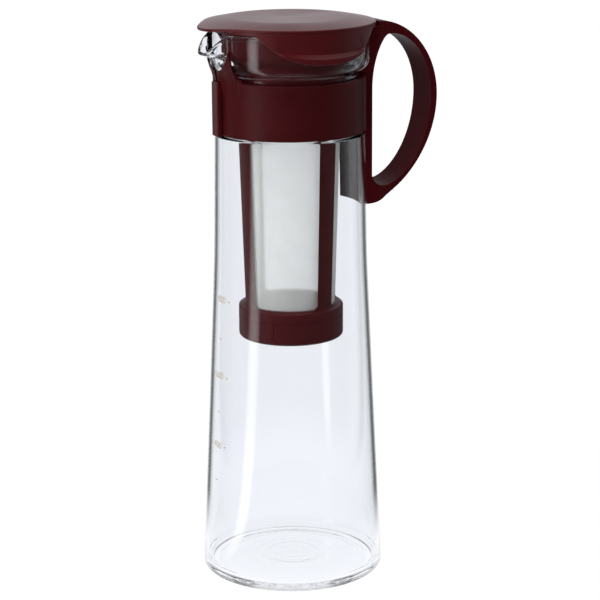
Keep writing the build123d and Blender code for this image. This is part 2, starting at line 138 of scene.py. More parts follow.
def gridMesh(name, rows, closed=True):
    # rows are lines of (x, y, z) points in millimetres, the same number in each; a closed mesh
    # has rings for rows and fans over its first and last ring
    across = len(rows[0])
    verts = [tuple(c * mm for c in p) for row in rows for p in row]
    faces = []
    for i in range(len(rows) - 1):
        a, b = i * across, (i + 1) * across
        for j in range(across if closed else across - 1):
            k = (j + 1) % across
            faces.append((a + j, a + k, b + k, b + j))
    for row, flip in ((0, True), (len(rows) - 1, False)) if closed else ():
        centre = len(verts)
        verts.append(tuple(sum(p[c] for p in rows[row]) / across * mm for c in range(3)))
        for j in range(across):
            pair = (row * across + j, row * across + (j + 1) % across)
            faces.append((pair[1], pair[0], centre) if flip else (pair[0], pair[1], centre))
    mesh = bpy.data.meshes.new(name)
    mesh.from_pydata(verts, [], faces)
    return addObject(name, mesh)


def cleanNormals(obj, mergeAt=1e-6):
    work = bmesh.new()
    work.from_mesh(obj.data)
    bmesh.ops.remove_doubles(work, verts=work.verts, dist=mergeAt)
    bmesh.ops.dissolve_degenerate(work, edges=work.edges, dist=mergeAt)
    bmesh.ops.recalc_face_normals(work, faces=work.faces)
    work.to_mesh(obj.data)
    work.free()


def applyModifiers(obj):
    graph = bpy.context.evaluated_depsgraph_get()
    made = bpy.data.meshes.new_from_object(obj.evaluated_get(graph))
    obj.modifiers.clear()
    obj.data = made
    return obj


def shadeSmooth(obj, sharpAngle):
    obj.data.shade_smooth()
    obj.data.set_sharp_from_angle(angle=math.radians(sharpAngle))


def dress(obj, material, body, slot, *standsFor):
    obj.data.materials.clear()
    obj.data.materials.append(material)
    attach(obj, body)
    if standsFor:
        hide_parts(*standsFor)
    print("made", obj.name, "with", len(obj.data.polygons), "faces")
    return obj


softening = {
    "mergeAt": 2e-6,           # metres, points nearer than this become one
    "flatAngle": 0.5,          # degrees, facets that turn less become one face
    "sharpAngle": 30.0,        # degrees, edges that turn more are rounded
    "segments": 2,
    "faceWeight": 90,          # how strongly large faces steer the shading
}


def softCopy(name, node, width, segments=softening["segments"],
             sharpAngle=softening["sharpAngle"]):
    # a copy of a CAD node with its facets merged and its edges rounded
    mesh = nodes[node].data.copy()
    obj = addObject(name, mesh)
    work = bmesh.new()
    work.from_mesh(mesh)
    bmesh.ops.remove_doubles(work, verts=work.verts, dist=softening["mergeAt"])
    bmesh.ops.dissolve_limit(work, angle_limit=math.radians(softening["flatAngle"]),
                             verts=work.verts, edges=work.edges)
    bmesh.ops.recalc_face_normals(work, faces=work.faces)
    work.to_mesh(mesh)
    work.free()
    mesh.materials.clear()
    mesh.shade_smooth()
    rounding = obj.modifiers.new("edgeRounding", "BEVEL")
    rounding.width = width * mm
    rounding.segments = segments
    rounding.limit_method = "ANGLE"
    rounding.angle_limit = math.radians(sharpAngle)
    rounding.miter_outer = "MITER_ARC"
    evening = obj.modifiers.new("evenNormals", "WEIGHTED_NORMAL")
    evening.mode = "FACE_AREA"
    evening.weight = softening["faceWeight"]
    evening.keep_sharp = True
    return applyModifiers(obj)


# ---- tools for node trees

def feed(tree, node, inputs):
    # links the sockets and sets the plain values
    for key, value in inputs.items():
        if isinstance(value, bpy.types.NodeSocket):
            tree.links.new(value, node.inputs[key])
        else:
            node.inputs[key].default_value = value


def addNode(tree, kind, inputs=None, **settings):
    node = tree.nodes.new(kind)
    for key, value in settings.items():
        setattr(node, key, value)
    feed(tree, node, inputs or {})
    return node


def addMath(tree, operation, *values):
    return addNode(tree, "ShaderNodeMath", dict(enumerate(values)), operation=operation).outputs[0]


def addVectorMath(tree, operation, *values):
    node = addNode(tree, "ShaderNodeVectorMath", dict(enumerate(values)), operation=operation)
    return node.outputs["Value" if operation in ("DOT_PRODUCT", "LENGTH") else "Vector"]


def addRange(tree, value, low, high, fromLow=0.0, fromHigh=1.0):
    return addNode(tree, "ShaderNodeMapRange", {
        "Value": value, "From Min": fromLow, "From Max": fromHigh, "To Min": low,
        "To Max": high}).outputs["Result"]


def splitVector(tree, vector):
    return addNode(tree, "ShaderNodeSeparateXYZ", {0: vector}).outputs


def makeVector(tree, *values):
    return addNode(tree, "ShaderNodeCombineXYZ", dict(enumerate(values))).outputs[0]


# ---- geometry trees

weldAt = 0.000004              # metres, points nearer than this are joined


def newTree(name, inputs):
    # inputs give the kind of each named value; returns the tree and its input sockets
    tree = bpy.data.node_groups.new(name, "GeometryNodeTree")
    tree.is_modifier = True
    tree.interface.new_socket("Geometry", in_out="OUTPUT", socket_type="NodeSocketGeometry")
    for label, kind in inputs.items():
        tree.interface.new_socket(label, in_out="INPUT", socket_type="NodeSocket" + kind)
    return tree, tree.nodes.new("NodeGroupInput").outputs


def closeTree(tree, geometry, material):
    real = addNode(tree, "GeometryNodeRealizeInstances", {"Geometry": geometry})
    dyed = addNode(tree, "GeometryNodeSetMaterial", {"Geometry": real.outputs[0],
                                                     "Material": material})
    addNode(tree, "NodeGroupOutput", {0: dyed.outputs[0]})
    return tree


def growMesh(name, tree, values):
    # runs the tree with these values and leaves a plain mesh
    obj = addObject(name, bpy.data.meshes.new(name))
    growth = obj.modifiers.new("growth", "NODES")
    growth.node_group = tree
    for item in tree.interface.items_tree:
        if item.in_out == "INPUT":
            growth[item.identifier] = values[item.name]
    return applyModifiers(obj)


def joined(tree, *pieces):
    join = addNode(tree, "GeometryNodeJoinGeometry")
    for piece in pieces:
        tree.links.new(piece, join.inputs[0])
    return join.outputs[0]


def welded(tree, geometry):
    return addNode(tree, "GeometryNodeMergeByDistance",
                   {"Geometry": geometry, "Distance": weldAt}).outputs[0]


def thicken(tree, sheet, depth):
    # closes a sheet into a thin solid on its back or front side
    pushed = addNode(tree, "GeometryNodeExtrudeMesh",
                     {"Mesh": sheet, "Offset Scale": depth, "Individual": False}, mode="FACES")
    back = addNode(tree, "GeometryNodeFlipFaces", {"Mesh": sheet})
    return welded(tree, joined(tree, pushed.outputs["Mesh"], back.outputs[0]))


def rolled(tree, sheet, radius, angle, height):
    # puts the sheet's points at their radius, angle and height round the upright axis
    place = makeVector(tree, addMath(tree, "MULTIPLY", radius, addMath(tree, "COSINE", angle)),
                       addMath(tree, "MULTIPLY", radius, addMath(tree, "SINE", angle)), height)
    return addNode(tree, "GeometryNodeSetPosition",
                   {"Geometry": sheet, "Position": place}).outputs[0]


# ---- node helpers for materials

def emptyTree(owner):
    owner.use_nodes = True
    owner.node_tree.nodes.clear()
    return owner.node_tree


def newMaterial(name):
    # returns the material, its tree, its shader and the place on the piece
    material = bpy.data.materials.new(name)
    tree = emptyTree(material)
    shader = addNode(tree, "ShaderNodeBsdfPrincipled")
    addNode(tree, "ShaderNodeOutputMaterial", {"Surface": shader.outputs["BSDF"]})
    coords = addNode(tree, "ShaderNodeTexCoord")
    return material, tree, shader, coords.outputs["Object"]


def addNoise(tree, vector, scale, detail=2.0, roughness=0.5, distortion=0.0):
    return addNode(tree, "ShaderNodeTexNoise", {
        "Vector": vector, "Scale": scale, "Detail": detail, "Roughness": roughness,
        "Distortion": distortion}).outputs["Fac"]


def addBump(tree, height, strength, distance):
    return addNode(tree, "ShaderNodeBump", {
        "Height": height, "Strength": strength, "Distance": distance}).outputs["Normal"]


def blend(tree, factor, first, second):
    return addNode(tree, "ShaderNodeMix", {"Factor": factor, "A": first, "B": second},
                   data_type="RGBA").outputs["Result"]


def mottled(tree, noise, look, darken=1.0, spread=0.2):
    # from the look's deep colour to its pale one, as the noise crosses its middle
    deep, pale = ((*(c * darken for c in look[key]), 1) for key in ("deepColor", "paleColor"))
    return blend(tree, addRange(tree, noise, 0, 1, 0.5 - spread, 0.5 + spread), deep, pale)


# ---- materials
# clouds, flow, grain and the like are noises, given as scale, detail, roughness and distortion

plasticLook = {
    "deepColor": (0.031, 0.0014, 0.0026),     # maroon where the pigment is dense
    "paleColor": (0.039, 0.0024, 0.0038),
    "darken": 1.0,                            # share of both colours
    "clouds": (55.0, 4.0, 0.55),              # faint, in the pigment
    "flow": (18.0, 3.0, 0.6, 1.2),            # slow changes of gloss
    "flowShare": 0.7,                         # of the gloss; the grain has the rest
    "glossSpread": 0.2,                       # of the noise that takes the gloss from low to high
    "roughnessLow": 0.36,
    "roughnessHigh": 0.46,
    "grain": (2600.0, 2.0, 0.6),              # spark-eroded mould texture
    "grainStrength": 0.35,
    "grainDepth": 0.000006,
    "ior": 1.46,
    "specular": 0.2,
}
lidLook = {
    **plasticLook,
    # the lid's colours are a brighter copy of the plastic's: painted light, standing in for the
    # stronger light its top catches from above
    "deepColor": (0.037, 0.0016, 0.0029),
    "paleColor": (0.045, 0.0025, 0.0040),
    "roughnessLow": 0.30,
    "roughnessHigh": 0.40,
    "specular": 0.45,
}
handleLook = {**plasticLook, "roughnessLow": 0.38, "roughnessHigh": 0.48, "specular": 0.035}
# the band's colours are darkened to 0.82 of the plastic's: painted shade, standing in for the
# dimmer light that falls on the band
bandLook = {**plasticLook, "darken": 0.82}


def moulding(name, look=plasticLook):
    # fine matte polypropylene: faint pigment clouds, mould grain and soft wear in the gloss
    material, tree, shader, where = newMaterial(name)
    clouds, grain, flow = (addNoise(tree, where, *look[key]) for key in ("clouds", "grain", "flow"))
    wear = addMath(tree, "ADD", addMath(tree, "MULTIPLY", flow, look["flowShare"]),
                   addMath(tree, "MULTIPLY", grain, 1 - look["flowShare"]))
    spread = look["glossSpread"]
    feed(tree, shader, {
        "Base Color": mottled(tree, clouds, look, look["darken"]),
        "Roughness": addRange(tree, wear, look["roughnessLow"], look["roughnessHigh"],
                              0.5 - spread, 0.5 + spread),
        "Normal": addBump(tree, grain, look["grainStrength"], look["grainDepth"]),
        "IOR": look["ior"], "Specular IOR Level": look["specular"]})
    return material


glassLook = {
    "tint": (0.990, 0.996, 1.0),
    "ior": 1.47,
    "ripples": (26.0, 2.0, 0.4, 0.4),      # slow, as in blown glass
    "rippleStrength": 0.25,
    "waviness": 0.000012,
    "smear": (12.0, 3.0),
    "smearRoughness": 0.012,   # where the glass is least clear
    "smearEdges": (0.35, 0.75),
}


def blownGlass():
    material, tree, shader, where = newMaterial("clearGlass")
    look = glassLook
    ripples = addNoise(tree, where, *look["ripples"])
    smear = addNoise(tree, where, *look["smear"])
    feed(tree, shader, {
        "Normal": addBump(tree, ripples, look["rippleStrength"], look["waviness"]),
        "Roughness": addRange(tree, smear, 0.0, look["smearRoughness"], *look["smearEdges"]),
        "Base Color": (*look["tint"], 1), "IOR": look["ior"], "Transmission Weight": 1.0})
    return material


meshLook = {
    "paleColor": (0.965, 0.985, 0.98),
    "deepColor": (0.90, 0.925, 0.92),
    "slub": (140.0, 3.0),      # uneven threads
    "pitch": 0.32,             # one thread to the next
    "threadEdges": (-0.2, 0.8),    # of the wave, from a hole to the top of a thread
    "coverThread": 0.60,
    "coverHole": 0.32,
    "glowThrough": 0.50,       # share of the light that the threads pass on
    "weaveStrength": 0.6,
    "weaveDepth": 0.00008,
    "roughness": 0.5,
    "sheen": 0.6,
    "ior": 1.03,               # low, so that light goes nearly straight through
}


def wovenMesh():
    material, tree, shader, where = newMaterial("wovenMesh")
    look = meshLook
    # the sleeve's own map: u follows the way round and v the height, both in metres
    weave = addNode(tree, "ShaderNodeUVMap", uv_map="weave")
    place = splitVector(tree, weave.outputs["UV"])
    turns = 2 * math.pi / (look["pitch"] * mm)
    thread = addMath(tree, "MAXIMUM", *(
        addMath(tree, "SINE", addMath(tree, "MULTIPLY", place[axis], turns)) for axis in "XY"))
    over = addRange(tree, thread, 0.0, 1.0, *look["threadEdges"])
    slub = addNoise(tree, where, *look["slub"])
    feed(tree, shader, {
        "Base Color": mottled(tree, slub, look),
        "Alpha": addRange(tree, over, look["coverHole"], look["coverThread"]),
        "Normal": addBump(tree, over, look["weaveStrength"], look["weaveDepth"]),
        "Roughness": look["roughness"], "Sheen Weight": look["sheen"], "IOR": look["ior"],
        "Transmission Weight": look["glowThrough"]})
    return material


printLook = {
    "deepColor": (0.30, 0.24, 0.19),
    "paleColor": (0.42, 0.36, 0.30),
    "wear": (1500.0, 3.0),
    "wearSpread": 0.15,
    "roughness": 0.6,
}


def scalePrint():
    material, tree, shader, where = newMaterial("scalePrint")
    look = printLook
    wear = addNoise(tree, where, *look["wear"])
    feed(tree, shader, {"Base Color": mottled(tree, wear, look, spread=look["wearSpread"]),
                        "Roughness": look["roughness"]})
    return material


jugGlass = blownGlass()
bandPlastic = moulding("bandPlastic", bandLook)
claspPlastic = moulding("claspPlastic")
handlePlastic = moulding("handlePlastic", handleLook)
lidPlastic = moulding("lidPlastic", lidLook)
strainerPlastic = moulding("strainerPlastic")
capPlastic = moulding("capPlastic")
meshCloth = wovenMesh()
printInk = scalePrint()
print("materials ready")

# ---- glass jug

jugSizes = {
    "wall": 2.2,
    "baseRadius": 48.6,
    "baseTuck": 0.2,          # the foot's flat ends this far inside the base's edge
    "baseCorner": 5.0,
    "kneeHeight": 172.0,
    "kneeRadius": 40.5,
    "kneeFillet": 900.0,
    "topRadius": 39.3,
    "neckRadius": 36.4,
    "neckFillet": 3.0,
    "shoulderFoot": 236.9,
    "shoulderTop": 238.0,
    "shoulderFillet": 0.8,
    "neckTop": 268.2,
    "bowlHeight": 272.6,
    "bowlRadius": 41.2,
    "bowlFillet": 6.0,
    "rimRadius": 41.8,
    "rimHeight": 290.5,
    "beadSwell": 0.25,        # rim bead stands out this far
    "beadHeight": 1.6,
    "puntRadius": 37.0,       # hollow under the base
    "puntRise": 2.2,
    "puntEdge": 0.4,          # its edge above the table
    "puntSlope": 3.5,         # from its edge out to the foot's flat
    "puntFillet": 4.0,
    "floor": 3.5,             # inside, at its edge
    "floorRadius": 32.0,
    "floorFillet": 60.0,
    "floorFall": 0.6,         # from there down to the wall's corner
    "floorTuck": 0.3,
    "floorCorner": 7.0,
    "domeRise": 2.6,          # the floor's middle above its edge
    "domeRadius": 14.0,       # its rounded top
    "domeShare": 0.8,         # of the rise, at that radius
    "domeFillet": 30.0,
    "innerFoot": 0.6,         # the inside stands higher by these at the shoulder's foot,
    "innerShoulder": 2.0,     # at its top
    "innerNeck": 0.9,         # and at the neck's top and the bowl
    "innerFillet": 2.0,
    "spoutReach": 49.8,
    "spoutDip": 9.8,
    "dipRun": 11.8,           # the rim falls to the tip over this length
    "dipCurve": ((-0.05, 1.06), (0.23, 0.6), (0.53, 0.0), (1.0, 0.0)),   # shares of run and dip
    "dipSteps": 60,
    "footRadius": 6.0,        # of the spout's round end, from its foot up to its lip
    "throatRadius": 8.0,
    "lipRadius": 11.0,
    "lipCurve": 0.9,
    "rootFlare": 4.0,
    "rootSlope": 0.4,
    "rootDepth": 2.0,         # the spout starts this far inside the neck's outer face
    "spoutRootOffset": 9.0,
    "throatReach": 43.6,
    "throatDrop": 2.4,
    "spoutStart": 257.35,
    "spoutBlend": 2.2,        # softness of the join to the bowl
    "spoutThin": 0.36,        # share of the wall that is left at the drawn-out spout
    "spoutLift": 0.8,         # share of that by which the inside lies higher
    "spoutCosine": -0.5,      # no spout where the direction's cosine is more than this
    "rimProbe": 0.3,          # the rim's radius is read this far below it
    "rimSettling": 0.6,
    "rimRounds": 14,
    "floorRipple": 0.10,      # rings left in the floor by the press
    "rippleSpan": 26.0,
    "rippleTurn": 0.95,       # radians for each millimetre
    "columns": 272,
    "crowding": 0.55,         # share of the columns' spacing that tightens at the spout
    "longestStep": 7.0,       # between two rows of the plain wall
    "bowlDrop": 11.0,         # the bowl's rows start this far below the neck's top
    "bowlRows": 56,
    "bowlCrowding": 1.5,
    "rimRows": 8,
    "puntRows": 8,
    "floorRows": 52,
    "sharpAngle": 60.0,
}


def eggDistance(x, y, reach, tip, root, offset):
    # signed distance in plan to the spout's egg-shaped slice, narrow end at x = -reach
    along = -x - (reach - tip - offset)
    across = abs(y)
    b = (root - tip) / offset
    a = math.sqrt(1 - b * b)
    k = -b * across + a * along
    if k < 0:
        return math.hypot(across, along) - root
    if k > a * offset:
        return math.hypot(across, along - offset) - tip
    return across * a + along * b - root


def softUnion(a, b, width):
    h = max(width - abs(a - b), 0.0) / width
    return min(a, b) - h * h * width / 4


def spoutAt(z, lift):
    # reach and end radius of the spout's slice at that height
    s = jugSizes
    throat = s["rimHeight"] - s["spoutDip"] + lift - s["throatDrop"]
    start = s["neckRadius"] - s["rootDepth"]
    if z < s["spoutStart"]:
        return start - (s["spoutStart"] - z) * s["rootSlope"], s["footRadius"]
    if z < throat:
        t = (z - s["spoutStart"]) / (throat - s["spoutStart"])
        return lerp(start, s["throatReach"], t), lerp(s["footRadius"], s["throatRadius"], t)
    t = math.sin(min((z - throat) / s["throatDrop"], 1.0) * math.pi / 2) ** s["lipCurve"]
    return lerp(s["throatReach"], s["spoutReach"], t), lerp(s["throatRadius"], s["lipRadius"], t)


def mouthRadius(angle, z, bodyRadius, inset):
    # how far the glass reaches in that direction at that height, spout included
    s = jugSizes
    thin = inset * s["spoutThin"]
    reach, end = spoutAt(z, thin * s["spoutLift"])
    cosA, sinA = math.cos(angle), math.sin(angle)

    def outside(r):
        egg = eggDistance(r * cosA, r * sinA, reach - thin, end - thin,
                          end + s["rootFlare"] - thin, s["spoutRootOffset"])
        return softUnion(r - bodyRadius, egg, s["spoutBlend"])

    if cosA > s["spoutCosine"] or outside(bodyRadius + 0.02) > 0:
        return bodyRadius
    return edgeBetween(outside, bodyRadius - 0.01, s["spoutReach"] + 2)


def rimDip():
    # side view of the rim's S-curve, from the spout's tip up to the level rim
    s = jugSizes
    steering = [(s["dipRun"] * along - s["spoutReach"], s["rimHeight"] - s["spoutDip"] * down)
                for along, down in s["dipCurve"]]
    return bezierPoints(*steering, s["dipSteps"])


dipLine = rimDip()


def rimPoint(angle):
    # settles the rim's height, which follows x, with the radius, which follows the height
    s = jugSizes
    z = s["rimHeight"]
    for _ in range(s["rimRounds"]):
        r = mouthRadius(angle, z - s["rimProbe"], s["rimRadius"], 0)
        z = lerp(z, readLine(dipLine, r * math.cos(angle), s["rimHeight"]), s["rimSettling"])
    return z


def jugAngles():
    # columns stand closer together round the spout, at the angle pi
    count, crowding = jugSizes["columns"], jugSizes["crowding"]
    out = []
    for j in range(count):
        v = (j + 0.5) / count * 2 - 1
        out.append(math.pi + math.pi * ((1 - crowding) * v + crowding * v ** 3))
    return out


def outerLine():
    # half outline of the outside, from the punt's edge up to the rim
    s = jugSizes
    return roundedLine([
        (s["puntRadius"], s["puntEdge"], 0),
        (s["puntRadius"] + s["puntSlope"], 0.0, s["puntFillet"]),
        (s["baseRadius"] - s["baseTuck"], 0.0, s["baseCorner"]),
        (s["kneeRadius"], s["kneeHeight"], s["kneeFillet"]),
        (s["topRadius"], s["shoulderFoot"], s["shoulderFillet"]),
        (s["neckRadius"], s["shoulderTop"], s["shoulderFillet"]),
        (s["neckRadius"], s["neckTop"], s["neckFillet"]),
        (s["bowlRadius"], s["bowlHeight"], s["bowlFillet"]),
        (s["rimRadius"], s["rimHeight"], 0)])


def innerLine():
    # half outline of the inside, from the middle of the floor up to the rim
    s = jugSizes
    wall = s["wall"]
    return roundedLine([
        (0.0, s["floor"] + s["domeRise"], 0),
        (s["domeRadius"], s["floor"] + s["domeRise"] * s["domeShare"], s["domeFillet"]),
        (s["floorRadius"], s["floor"], s["floorFillet"]),
        (s["baseRadius"] - wall - s["floorTuck"], s["floor"] - s["floorFall"], s["floorCorner"]),
        (s["kneeRadius"] - wall, s["kneeHeight"], s["kneeFillet"]),
        (s["topRadius"] - wall, s["shoulderFoot"] + s["innerFoot"], s["innerFillet"]),
        (s["neckRadius"] - wall, s["shoulderTop"] + s["innerShoulder"], s["innerFillet"]),
        (s["neckRadius"] - wall, s["neckTop"] + s["innerNeck"], s["neckFillet"]),
        (s["bowlRadius"] - wall, s["bowlHeight"] + s["innerNeck"], s["bowlFillet"]),
        (s["rimRadius"] - wall, s["rimHeight"], 0)])


def bowlRings(angles, rims, line, inset):
    # from below the neck's top up to the rim, closer together near it
    s = jugSizes
    foot = s["neckTop"] - s["bowlDrop"]
    side = [(p.y, p.x) for p in line]
    rings = []
    for k in range(s["bowlRows"] + 1):
        share = 1 - (1 - k / s["bowlRows"]) ** s["bowlCrowding"]
        ring = []
        for a, rim in zip(angles, rims):
            top = rim - s["wall"] / 2
            z = lerp(foot, top, share)
            bead = s["beadSwell"] * (1 - smooth((top - z) / s["beadHeight"]))
            body = readLine(side, z, line[-1].x)
            r = mouthRadius(a, z, body, inset) + (bead if inset == 0 else -bead)
            ring.append(polar(r, a, z))
        rings.append(ring)
    return rings


def rimRings(outRing, inRing):
    # the rim's rounded edge, from the outer wall over to the inner
    rings = []
    for k in range(1, jugSizes["rimRows"]):
        turn = math.pi * k / jugSizes["rimRows"]
        ring = []
        for p, q in zip(outRing, inRing):
            a, b = Vector(p), Vector(q)
            reach = (a - b) / 2
            rise = min(reach.length, jugSizes["wall"] / 2) * math.sin(turn)
            ring.append(tuple((a + b) / 2 + reach * math.cos(turn) + Vector((0, 0, rise))))
        rings.append(ring)
    return rings


def makeGlassJug():
    s = jugSizes
    angles = jugAngles()
    rims = [rimPoint(a) for a in angles]
    outer, inner = outerLine(), innerLine()
    bowlFoot = s["neckTop"] - s["bowlDrop"]

    def bodyRings(points):
        return [[polar(p.x, a, p.y) for a in angles] for p in points]

    def belowBowl(line, inset):
        low = [p for p in line if p.y < bowlFoot]
        top = Vector((s["neckRadius"] - inset, bowlFoot))
        return subdivided(low + [top], s["longestStep"])[:-1]

    punt = []
    for k in range(1, s["puntRows"]):
        share = k / s["puntRows"]
        rise = (s["puntRise"] - s["puntEdge"]) * math.cos(share * math.pi / 2)
        punt.append(Vector((s["puntRadius"] * share, s["puntEdge"] + rise)))
    outRings = bowlRings(angles, rims, outer, 0)
    inRings = bowlRings(angles, rims, inner, s["wall"])
    rows = bodyRings(punt + belowBowl(outer, 0)) + outRings
    rows += rimRings(outRings[-1], inRings[-1]) + inRings[::-1]
    rows += bodyRings(p for p in belowBowl(inner, s["wall"])[::-1] if p.x > s["rippleSpan"])
    middle = []
    for k in range(s["floorRows"] - 1, 1, -1):
        # soft rings in the middle of the floor
        r = s["rippleSpan"] * k / s["floorRows"]
        swell = math.sin(math.pi * k / s["floorRows"]) * s["floorRipple"]
        level = readLine(inner, r, inner[0].y)
        middle.append(Vector((r, level + math.sin(r * s["rippleTurn"]) * swell)))
    rows += bodyRings(middle)
    obj = gridMesh("glassJug", rows)
    cleanNormals(obj)
    shadeSmooth(obj, s["sharpAngle"])
    obj.visible_shadow = False       # clear glass leaves what stands inside it in full light
    obj.visible_diffuse = False
    return dress(obj, jugGlass, "jug", "glass", "glass_jug")


makeGlassJug()

# ---- volume marks printed on the glass

markSizes = {
    "turn": 184.0,            # degrees round the axis, about under the spout
    "letterSize": 5.2,
    "dashLength": 1.9,
    "dashGap": 11.8,          # between the two dashes beside a number
    "tickLength": 1.1,        # half of a bare tick
    "lineWidth": 0.6,
    "lift": 0.03,             # above the glass
    "thickness": 0.04,
}
# millilitres, height above the table and whether the number is printed
volumeMarks = ((300, 54.6, False), (400, 73.8, True), (500, 92.0, False), (600, 111.6, True),
               (700, 131.2, False), (800, 152.4, True))


def markTree():
    # a number between two dashes, laid flat and then wrapped onto the cone of the glass
    tree, given = newTree("volumeMark", {"Label": "String", **dict.fromkeys((
        "Height", "Letter Size", "Dash Length", "Dash Gap", "Line Width", "Turn", "Foot Radius",
        "Slope", "Thickness"), "Float")})
    letters = addNode(tree, "GeometryNodeStringToCurves",
                      {"String": given["Label"], "Size": given["Letter Size"]},
                      align_x="CENTER", align_y="MIDDLE")
    outlines = addNode(tree, "GeometryNodeRealizeInstances",
                       {0: letters.outputs["Curve Instances"]})
    filled = addNode(tree, "GeometryNodeFillCurve", {"Curve": outlines.outputs[0]})
    dash = addNode(tree, "GeometryNodeMeshGrid", {
        "Size X": given["Dash Length"], "Size Y": given["Line Width"], "Vertices X": 5,
        "Vertices Y": 2})
    space = addMath(tree, "ADD", given["Dash Gap"], given["Dash Length"])
    pair = addNode(tree, "GeometryNodeMeshLine", {
        "Count": 2, "Start Location": makeVector(tree, addMath(tree, "MULTIPLY", space, -0.5)),
        "Offset": makeVector(tree, space)})
    dashes = addNode(tree, "GeometryNodeInstanceOnPoints",
                     {"Points": pair.outputs[0], "Instance": dash.outputs["Mesh"]})
    flat = joined(tree, filled.outputs[0], dashes.outputs[0])
    sheet = addNode(tree, "GeometryNodeRealizeInstances", {0: flat})
    place = splitVector(tree, addNode(tree, "GeometryNodeInputPosition").outputs[0])
    height = addMath(tree, "ADD", place["Y"], given["Height"])
    radius = addMath(tree, "ADD", given["Foot Radius"],
                     addMath(tree, "MULTIPLY", height, given["Slope"]))
    angle = addMath(tree, "ADD", given["Turn"], addMath(tree, "DIVIDE", place["X"], radius))
    onGlass = rolled(tree, sheet.outputs[0], radius, angle, height)
    return closeTree(tree, thicken(tree, onGlass, given["Thickness"]), printInk)


def makeVolumeMarks():
    m, j = markSizes, jugSizes
    tree = markTree()
    slope = (j["kneeRadius"] - j["baseRadius"]) / j["kneeHeight"]
    work = bmesh.new()
    for volume, height, numbered in volumeMarks:
        part = growMesh("mark", tree, {
            "Label": str(volume) if numbered else "", "Height": height * mm,
            "Letter Size": m["letterSize"] * mm, "Line Width": m["lineWidth"] * mm,
            "Dash Length": (m["dashLength"] if numbered else m["tickLength"]) * mm,
            "Dash Gap": (m["dashGap"] if numbered else 0.0) * mm, "Turn": math.radians(m["turn"]),
            "Foot Radius": (j["baseRadius"] + m["lift"]) * mm, "Slope": slope,
            "Thickness": m["thickness"] * mm})
        work.from_mesh(part.data)
        bpy.data.objects.remove(part)
    mesh = bpy.data.meshes.new("volumeMarks")
    work.to_mesh(mesh)
    work.free()
    obj = addObject("volumeMarks", mesh)
    cleanNormals(obj)
    obj.visible_shadow = False
    return dress(obj, printInk, "jug", "glass")


makeVolumeMarks()

# ---- lid

lidSizes = {
    "radius": 44.5,
    "noseReach": 49.5,
    "noseRadius": 20.0,
    "noseCosine": -0.3,       # no nose where the direction's cosine is more than this
    "top": 297.0,
    "edgeTop": 294.7,
    "dishRadius": 29.2,
    "dishDepth": 0.8,
    "crownStart": 5.0,        # level run outside the dish
    "crownPull": 3.0,         # straight run up to the edge
    "crownOverrun": 5.0,      # the crown's line ends this far past the nose
    "crownFall": 2.1,         # and this far below the edge
    "crownSteps": 40,
    "edgeRound": 0.55,
    "underRound": 0.4,        # of the edge's lower side
    "edgeThickness": 1.4,
    "seat": 292.3,
    "seatWidth": 4.0,
    "seatStep": 0.3,
    "skirtOuter": 44.2,
    "skirtInner": 42.7,
    "skirtLap": 0.1,          # the skirt starts this far above the seat
    "skirtEdge": 291.6,       # lower edge where there is no finger lobe
    "footRound": 0.5,         # how far its rounding hangs below it
    "lobeHalfWidth": 34.0,
    "lobeDepth": 14.4,
    "lobeBow": 2.7,           # powers that shape the lobe's bow and its ends
    "lobeEnds": 12,
    "lipProud": 1.9,          # finger lip at the foot of each lobe
    "lipFace": 2.4,           # height of its front
    "lipSlope": 2.0,          # height of the slope above the front
    "lipRecess": 0.5,         # the lobe's face sinks in above the slope
    "lipTurn": 91.0,          # degrees from the handle to its middle
    "lipHalfAngle": 34.0,
    "lipBow": 2.6,
    "lipOnset": 2.5,          # how soon it stands out from its ends
    "recessOnset": 1.3,
    "plugOuter": 31.9,
    "plugInner": 30.2,
    "plugFoot": 284.3,
    "plugRound": 0.5,
    "rootDrop": 0.25,         # the plug's roots run from this far under the skin
    "outerRoot": (0.5, 0.8),  # run and drop
    "innerRoot": (0.7, 0.9),
    "skin": 1.8,
    "skinRings": (20.0, 10.0, 2.0),   # radii of the rows under the dish
    "columns": 240,
    "crownRows": 22,
    "innerRows": 0.8,         # share of them that ends at nearRun
    "nearRun": 8.0,           # outside the dish
    "edgeRows": 4,
    "lobeRows": 12,
    "lipRows": 4,
    "footRows": 6,
    "wallRows": 8,
    "rowGap": 0.12,           # rows of the skirt keep this apart where there is no lip
    "sharpAngle": 32.0,
}


def planReach(angle):
    # the disc drawn out to its rounded nose, from the axis in that direction
    s = lidSizes
    cosA, sinA = math.cos(angle), math.sin(angle)
    if cosA > s["noseCosine"]:
        return s["radius"]

    def outside(r):
        return eggDistance(r * cosA, r * sinA, s["noseReach"], s["noseRadius"], s["radius"],
                           s["noseReach"] - s["noseRadius"])

    return edgeBetween(outside, s["radius"], s["noseReach"] + 1)


def crownLine():
    # half outline of the crown, from the dish's edge out past the nose
    s = lidSizes
    fall = (s["top"] - s["edgeTop"]) / (s["radius"] - s["dishRadius"])
    return bezierPoints((s["dishRadius"], s["top"]), (s["dishRadius"] + s["crownStart"], s["top"]),
                        (s["radius"] - s["crownPull"], s["edgeTop"] + s["crownPull"] * fall),
                        (s["noseReach"] + s["crownOverrun"], s["edgeTop"] - s["crownFall"]),
                        s["crownSteps"])


crown = crownLine()


def lidTopHeight(r):
    s = lidSizes
    if r <= s["dishRadius"]:
        return s["top"] - s["dishDepth"] * (1 - (r / s["dishRadius"]) ** 2)
    return readLine(crown, r, crown[-1].y)


def lobeFoot(x):
    s = lidSizes
    u = min(abs(x) / s["lobeHalfWidth"], 1.0)
    return s["skirtEdge"] - s["lobeDepth"] * (1 - u ** s["lobeBow"]) * (1 - u ** s["lobeEnds"])


def lipShare(angle):
    # 1 in the middle of the finger lip and 0 at its ends
    s = lidSizes
    side = abs(math.degrees(math.atan2(math.sin(angle), math.cos(angle)))) - s["lipTurn"]
    return 1 - min(abs(side) / s["lipHalfAngle"], 1.0) ** s["lipBow"]


